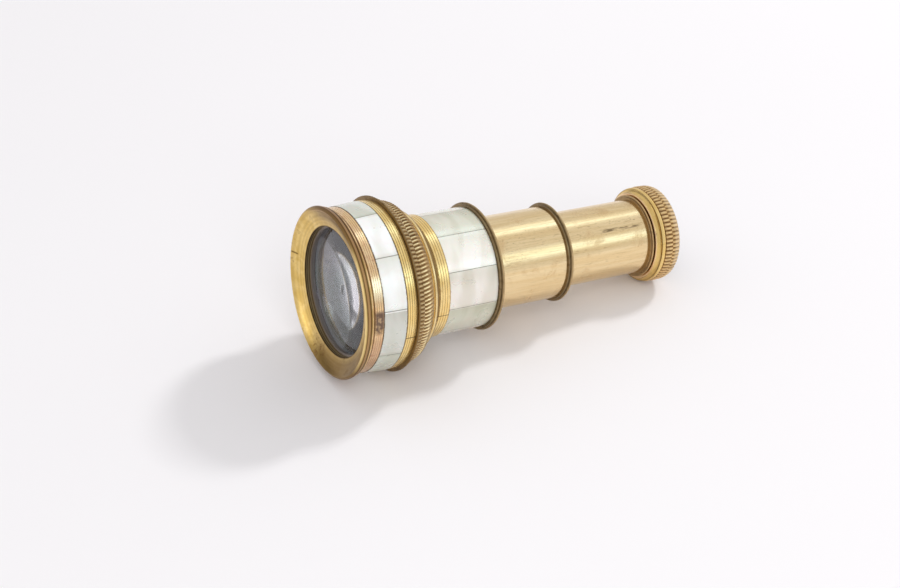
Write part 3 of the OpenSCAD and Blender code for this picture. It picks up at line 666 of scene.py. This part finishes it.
for finish_material, nodes in (
    (bezel_brass, ["front_bezel"]),
    (bead_brass, ["bead_ring"]),
    (cap_brass, ["eye_cap"]),
    (front_band_brass, ["front_band"]),
    (rear_band_brass, ["rear_band"]),
    (neck_band_brass, ["neck_band"]),
    (ring_brass, ["milled_ring"]),
    (cap_rim_brass, ["cap_milled_rim"]),
    (flange_brass, ["drum_flange"]),
    (collar_brass, ["neck_collar", "draw_1_collar", "draw_2_collar"]),
    (drawn_brass, ["draw_1_tube", "draw_2_tube", "eye_tube"]),
    (inner_brass, ["drum_tube", "drum_shoulder", "neck_tube", "neck_bush", "draw_1_stop", "draw_1_bush",
                   "draw_2_stop", "draw_2_bush", "eye_stop"]),
    (painted_reflection_retainer, ["objective_retainer"]),
    (black_brass, ["light_baffle", "eye_lens_ring", "eye_plate"]),
    (glass, ["crown_lens", "flint_lens", "eye_lens"]),
    (drum_pearl, [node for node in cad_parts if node.startswith("drum_pearl")]),
    (neck_pearl, [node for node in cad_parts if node.startswith("neck_pearl")]),
):
    for node in nodes:
        dress(node, finish_material)


# Pieces that are finer than their solids.


def spun(made, outline, steps):
    """Spins a closed outline of (out, along) points round the axis; layer station numbers the points."""
    station = made.verts.layers.int.new("station")
    corners = []
    for i, (out, along) in enumerate(outline):
        corner = made.verts.new((out * MM, 0.0, along * MM))
        corner[station] = i
        corners.append(corner)
    sides = [made.edges.new(pair) for pair in zip(corners, corners[1:] + corners[:1])]
    bmesh.ops.spin(made, geom=corners + sides, axis=(0, 0, 1), angle=2 * math.pi, steps=steps,
                   use_merge=True)
    return station


def laid_piece(name, made, sharp):
    """Lays a spun mesh down along the spyglass and shades it smooth, but for edges over sharp degrees."""
    bmesh.ops.recalc_face_normals(made, faces=made.faces)
    for edge in made.edges:
        edge.smooth = len(edge.link_faces) == 2 and edge.calc_face_angle(0.0) < math.radians(sharp)
    for face in made.faces:
        face.smooth = True
    mesh = bpy.data.meshes.new(name)
    made.to_mesh(mesh)
    made.free()
    mesh.transform(LAID_DOWN)
    piece = bpy.data.objects.new(name, mesh)
    bpy.context.scene.collection.objects.link(piece)
    return piece


def fit_piece(piece, finish_material, body, solid):
    """Gives a piece its material and puts it in the place of its solid."""
    piece.data.materials.append(finish_material)
    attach(piece, body)
    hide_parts(solid)


def swollen(p, q, swell, fullness, t):
    """A point on the line from p to q, and the way a full, blunt-ended swelling pushes it out."""
    p, q = Vector(p), Vector(q)
    chord = q - p
    outward = Vector((chord.y, -chord.x)).normalized()
    return p + chord * t, outward * swell * (4 * t * (1 - t)) ** fullness


def milled_piece(name, rows, bore, lobes, facets, valley_share, fullness):
    """A ring of lobes, each made of some facets. Its valleys keep a share of the crests' swelling."""
    stations = []
    for row in rows:
        for i in range(ROW_STEPS + 1):
            t = (1 - math.cos(math.pi * i / ROW_STEPS)) / 2
            base, push = swollen(row.front, row.back, row.swell, fullness, t)
            if i or not stations:
                low = valley_share + (1 - valley_share) * row.fill * t
                stations.append((base, push, row.shift + row.lean * t, low))
    front, back = rows[0].front[1], rows[-1].back[1]
    made = bmesh.new()
    station = spun(made, [tuple(s[0]) for s in stations] + [(bore, back), (bore, front)], lobes * facets)
    for v in made.verts:
        if v[station] < len(stations):
            base, push, lean, low = stations[v[station]]
            turn = math.atan2(v.co.y, v.co.x)
            share = (lobes * (turn - math.pi) / (2 * math.pi) - lean) % 1.0
            ridge = 1 - (2 * min(share, 1 - share)) ** 2
            reach = base + push * (low + (1 - low) * ridge)
            v.co = Vector((math.cos(turn) * reach.x, math.sin(turn) * reach.x, reach.y)) * MM
    return laid_piece(name, made, sharp=60)


def ribbed_band(name, band):
    """An engine-turned band: flat ribs with narrow grooves between them, and chamfered ends."""
    outline = []
    for rib in range(band.ribs + 1):
        along = band.front + BAND_EDGE + rib * rib_pitch(band)
        outline += [(band.outer, along - HALF_GROOVE), (band.outer - GROOVE_DEPTH, along),
                    (band.outer, along + HALF_GROOVE)]
    chamfered = band.outer - BAND_CHAMFER
    outline = [(band.bore, band.front), (chamfered, band.front), *outline, (chamfered, band.back),
               (band.bore, band.back)]
    made = bmesh.new()
    spun(made, outline, BAND_FACETS)
    return laid_piece(name, made, sharp=20)


rope_ring = milled_piece("rope_ring", RING_ROWS, RING_BORE, RING_LOBES, facets=6, valley_share=0.5,
                         fullness=0.6)
fit_piece(rope_ring, ring_brass, "barrel", "milled_ring")
cap_rope = milled_piece("cap_rope", CAP_ROWS, CAP_BORE, CAP_LOBES, facets=8, valley_share=0.2,
                        fullness=0.4)
fit_piece(cap_rope, cap_rim_brass, "eye_draw", "cap_milled_rim")
for name, band, band_brass, solid in (
    ("front_ribs", FRONT_BAND, front_band_brass, "front_band"),
    ("rear_ribs", REAR_BAND, rear_band_brass, "rear_band"),
    ("neck_ribs", NECK_BAND, neck_band_brass, "neck_band"),
):
    fit_piece(ribbed_band(name, band), band_brass, "barrel", solid)


# Floor, light and camera.


floor_mesh = bpy.data.meshes.new("studio_floor")
sheet = bmesh.new()
bmesh.ops.create_grid(sheet, x_segments=1, y_segments=1, size=4.0)
sheet.to_mesh(floor_mesh)
sheet.free()
floor = bpy.data.objects.new("studio_floor", floor_mesh)
bpy.context.scene.collection.objects.link(floor)
paper = bpy.data.materials.new("white_paper")
paper.use_nodes = True
paper_tree = paper.node_tree
paper_shader = paper_tree.nodes["Principled BSDF"]
paper_shader.inputs["Roughness"].default_value = 0.9
paper_shader.inputs["Specular IOR Level"].default_value = 0.2
paper_place = paper_tree.nodes.new("ShaderNodeTexCoord").outputs["Object"]
paper_colour = mixed(paper_tree, noise(paper_tree, paper_place, 3.0, 2.0),
                     tone(244, 242, 244), tone(248, 246, 248))
paper_tree.links.new(paper_colour, paper_shader.inputs["Base Color"])
floor_mesh.materials.append(paper)

# The studio's walls: brighter towards the key light, darker low down at the back left, and dimmer
# for the light that falls on matt things.
world = bpy.data.worlds.new("studio")
bpy.context.scene.world = world
world.use_nodes = True
air = world.node_tree
sky = air.nodes["Background"]
sky.inputs["Color"].default_value = (0.985, 0.98, 0.985, 1.0)
compass = add(air, "ShaderNodeSeparateXYZ", {0: add(air, "ShaderNodeTexCoord").outputs["Generated"]}).outputs
low_back_left = product(air, remap(air, compass["Y"], 0.2, 0.6),
                        remap(air, compass["X"], -0.4, 0.2, 1.0, 0.0),
                        remap(air, compass["Z"], 0.1, 0.35, 1.0, 0.0))
towards_key = remap(air, compass["X"], 0.55, 0.95, 0.8, 1.05)
in_gloss = calc(air, "MULTIPLY_ADD", low_back_left, -0.58, towards_key)
matt_share = add(air, "ShaderNodeLightPath").outputs["Is Diffuse Ray"]
air.links.new(calc(air, "MULTIPLY_ADD", calc(air, "SUBTRACT", 0.66, in_gloss), matt_share, in_gloss),
              sky.inputs["Strength"])


LIT_POINT = Vector((0.0, 0.0, 0.02))
LIGHT_DISTANCE = 1.3


def soft_light(name, towards, size, power, colour=(1.0, 1.0, 1.0), on_matt=True, in_gloss=True):
    """A square softbox that stands in a direction from the spyglass, and faces it."""
    lamp = bpy.data.lights.new(name, "AREA")
    lamp.shape = "SQUARE"
    lamp.size = size
    lamp.energy = power
    lamp.color = colour
    stand = bpy.data.objects.new(name, lamp)
    way = Vector(towards).normalized()
    stand.location = LIT_POINT + way * LIGHT_DISTANCE
    stand.rotation_mode = "QUATERNION"
    stand.rotation_quaternion = way.to_track_quat("Z", "Y")
    stand.visible_diffuse = on_matt
    stand.visible_glossy = in_gloss
    bpy.context.scene.collection.objects.link(stand)


soft_light("key_light", (1.02, 0.17, 1.0), 0.17, 5.6, in_gloss=False)
soft_light("front_fill", (-0.25, -0.75, 0.6), 0.9, 5.2, in_gloss=False)
soft_light("back_window", (0.552, 0.2365, 0.80), 0.36, 0.46, (0.66, 0.84, 1.0), on_matt=False)
soft_light("front_window", (0.51, -0.735, 0.447), 0.42, 0.62, (0.62, 0.86, 1.0), on_matt=False)
soft_light("left_window", (-0.93, 0.36, 0.05), 0.5, 1.3, on_matt=False)

# The camera is fitted to the photo: its turn, its drop, and where the lip's centre lies before it.
VIEW_TURN, VIEW_DROP = math.radians(28.3651), math.radians(34.5731)
LIP_RIGHT, LIP_OVER, LIP_AHEAD = -30.66, 0.112, 497.32
right = Vector((math.cos(VIEW_TURN), -math.sin(VIEW_TURN), 0.0))
level = Vector((math.sin(VIEW_TURN), math.cos(VIEW_TURN), 0.0))
ahead = level * math.cos(VIEW_DROP) - Vector((0, 0, 1)) * math.sin(VIEW_DROP)
overhead = level * math.sin(VIEW_DROP) + Vector((0, 0, 1)) * math.cos(VIEW_DROP)
camera_data = bpy.data.cameras.new("camera")
camera_data.lens, camera_data.sensor_width = 80.0, 36.0
camera_data.clip_start, camera_data.clip_end = 0.01, 50.0
camera = bpy.data.objects.new("camera", camera_data)
camera.location = LIP_CENTRE - (right * LIP_RIGHT + overhead * LIP_OVER + ahead * LIP_AHEAD) * MM
camera.rotation_mode = "QUATERNION"
camera.rotation_quaternion = Matrix((right, overhead, -ahead)).transposed().to_quaternion()
bpy.context.scene.collection.objects.link(camera)
bpy.context.scene.camera = camera

bpy.context.scene.view_settings.view_transform = "Standard"
bpy.context.scene.view_settings.look = "None"
